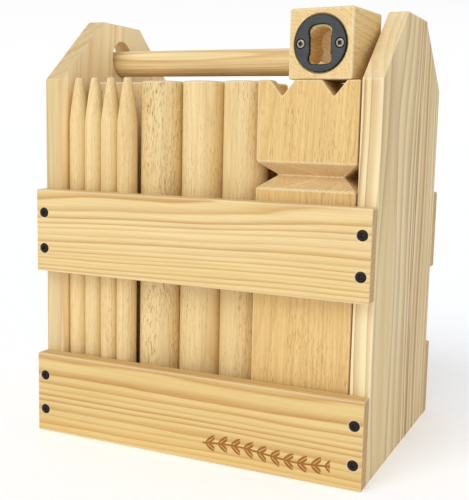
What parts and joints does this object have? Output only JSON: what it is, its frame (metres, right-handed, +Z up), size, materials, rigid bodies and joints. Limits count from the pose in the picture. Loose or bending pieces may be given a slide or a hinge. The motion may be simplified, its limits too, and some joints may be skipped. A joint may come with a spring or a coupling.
{
  "type": "lawn skittles game set in carry crate",
  "caption": "Open slatted pine crate with dowel handle and gabled ends, holding a wooden king, batons, field blocks, pointed stakes and a bottle opener block.",
  "frame": {"origin": "middle of the crate's footprint, on the ground", "axes": "+Z up, X along the handle with the king at +X, the front slats face -Y"},
  "size_m": [0.328, 0.244, 0.401],
  "materials": {
    "end_panel_pine": "bare planed pine, edges eased",
    "slat_pine": "bare planed pine with bold grain",
    "floor_pine": "bare planed pine",
    "handle_wood": "turned pine dowel, sanded",
    "game_hardwood": "sanded rubberwood with fine dark pores",
    "king_wood": "sanded rubberwood, straight grain",
    "black_screw": "black phosphate, satin",
    "gunmetal_plate": "dark plated steel, satin",
    "plate_screw": "dark plated steel, satin"
  },
  "bodies": {
    "crate": {"left_end_panel": "end_panel_pine", "right_end_panel": "end_panel_pine", "front_lower_slat": "slat_pine", "front_upper_slat": "slat_pine", "rear_lower_slat": "slat_pine", "rear_upper_slat": "slat_pine", "floor_board": "floor_pine", "floor_cleat_left": "floor_pine", "floor_cleat_right": "floor_pine", "front_lower_screw_left_high": "black_screw", "front_lower_screw_left_low": "black_screw", "front_lower_screw_right_high": "black_screw", "front_lower_screw_right_low": "black_screw", "front_upper_screw_left_high": "black_screw", "front_upper_screw_left_low": "black_screw", "front_upper_screw_right_high": "black_screw", "front_upper_screw_right_low": "black_screw", "rear_lower_screw_left_high": "black_screw", "rear_lower_screw_left_low": "black_screw", "rear_lower_screw_right_high": "black_screw", "rear_lower_screw_right_low": "black_screw", "rear_upper_screw_left_high": "black_screw", "rear_upper_screw_left_low": "black_screw", "rear_upper_screw_right_high": "black_screw", "rear_upper_screw_right_low": "black_screw", "cleat_screw_left_front": "black_screw", "cleat_screw_left_rear": "black_screw", "cleat_screw_right_front": "black_screw", "cleat_screw_right_rear": "black_screw", "floor_screw_left_front": "black_screw", "floor_screw_left_rear": "black_screw", "floor_screw_right_front": "black_screw", "floor_screw_right_rear": "black_screw"},
    "handle": {"handle_dowel": "handle_wood"},
    "stake_1": {"corner_stake_1": "game_hardwood"},
    "stake_2": {"corner_stake_2": "game_hardwood"},
    "stake_3": {"corner_stake_3": "game_hardwood"},
    "stake_4": {"corner_stake_4": "game_hardwood"},
    "baton_1": {"baton_1": "game_hardwood"},
    "baton_2": {"baton_2": "game_hardwood"},
    "baton_3": {"baton_3": "game_hardwood"},
    "baton_4": {"baton_4": "game_hardwood"},
    "baton_5": {"baton_5": "game_hardwood"},
    "baton_6": {"baton_6": "game_hardwood"},
    "king": {"king": "king_wood"},
    "opener": {"opener_block": "game_hardwood", "opener_plate": "gunmetal_plate", "plate_screw_left": "plate_screw", "plate_screw_right": "plate_screw"},
    "field_block_1": {"field_block_1": "game_hardwood"},
    "field_block_2": {"field_block_2": "game_hardwood"},
    "field_block_3": {"field_block_3": "game_hardwood"},
    "field_block_4": {"field_block_4": "game_hardwood"},
    "field_block_5": {"field_block_5": "game_hardwood"},
    "field_block_6": {"field_block_6": "game_hardwood"},
    "field_block_7": {"field_block_7": "game_hardwood"},
    "field_block_8": {"field_block_8": "game_hardwood"},
    "field_block_9": {"field_block_9": "game_hardwood"},
    "field_block_10": {"field_block_10": "game_hardwood"}
  },
  "joints": [
    {"name": "handle_draw", "type": "slide", "parent": "crate", "child": "handle", "axis": [-1, 0, 0], "range_m": [0, 0.33]},
    {"name": "stake_1_lift", "type": "slide", "parent": "crate", "child": "stake_1", "axis": [0, 0, 1], "range_m": [0, 0.37]},
    {"name": "stake_2_lift", "type": "slide", "parent": "crate", "child": "stake_2", "axis": [0, 0, 1], "range_m": [0, 0.37]},
    {"name": "stake_3_lift", "type": "slide", "parent": "crate", "child": "stake_3", "axis": [0, 0, 1], "range_m": [0, 0.37]},
    {"name": "stake_4_lift", "type": "slide", "parent": "crate", "child": "stake_4", "axis": [0, 0, 1], "range_m": [0, 0.37]},
    {"name": "baton_1_lift", "type": "slide", "parent": "crate", "child": "baton_1", "axis": [0, 0, 1], "range_m": [0, 0.37]},
    {"name": "baton_2_lift", "type": "slide", "parent": "crate", "child": "baton_2", "axis": [0, 0, 1], "range_m": [0, 0.37]},
    {"name": "baton_3_lift", "type": "slide", "parent": "crate", "child": "baton_3", "axis": [0, 0, 1], "range_m": [0, 0.37]},
    {"name": "baton_4_lift", "type": "slide", "parent": "crate", "child": "baton_4", "axis": [0, 0, 1], "range_m": [0, 0.37]},
    {"name": "baton_5_lift", "type": "slide", "parent": "crate", "child": "baton_5", "axis": [0, 0, 1], "range_m": [0, 0.37]},
    {"name": "baton_6_lift", "type": "slide", "parent": "crate", "child": "baton_6", "axis": [0, 0, 1], "range_m": [0, 0.37]},
    {"name": "king_lift", "type": "slide", "parent": "crate", "child": "king", "axis": [0, 0, 1], "range_m": [0, 0.37]},
    {"name": "opener_lift", "type": "slide", "parent": "king", "child": "opener", "axis": [0, 0, 1], "range_m": [0, 0.1]},
    {"name": "field_block_1_lift", "type": "slide", "parent": "crate", "child": "field_block_1", "axis": [0, 0, 1], "range_m": [0, 0.37]},
    {"name": "field_block_2_lift", "type": "slide", "parent": "field_block_1", "child": "field_block_2", "axis": [0, 0, 1], "range_m": [0, 0.22]},
    {"name": "field_block_3_lift", "type": "slide", "parent": "crate", "child": "field_block_3", "axis": [0, 0, 1], "range_m": [0, 0.37]},
    {"name": "field_block_4_lift", "type": "slide", "parent": "field_block_3", "child": "field_block_4", "axis": [0, 0, 1], "range_m": [0, 0.22]},
    {"name": "field_block_5_lift", "type": "slide", "parent": "crate", "child": "field_block_5", "axis": [0, 0, 1], "range_m": [0, 0.37]},
    {"name": "field_block_6_lift", "type": "slide", "parent": "field_block_5", "child": "field_block_6", "axis": [0, 0, 1], "range_m": [0, 0.22]},
    {"name": "field_block_7_lift", "type": "slide", "parent": "crate", "child": "field_block_7", "axis": [0, 0, 1], "range_m": [0, 0.37]},
    {"name": "field_block_8_lift", "type": "slide", "parent": "field_block_7", "child": "field_block_8", "axis": [0, 0, 1], "range_m": [0, 0.22]},
    {"name": "field_block_9_lift", "type": "slide", "parent": "crate", "child": "field_block_9", "axis": [0, 0, 1], "range_m": [0, 0.37]},
    {"name": "field_block_10_lift", "type": "slide", "parent": "field_block_9", "child": "field_block_10", "axis": [0, 0, 1], "range_m": [0, 0.22]}
  ]
}
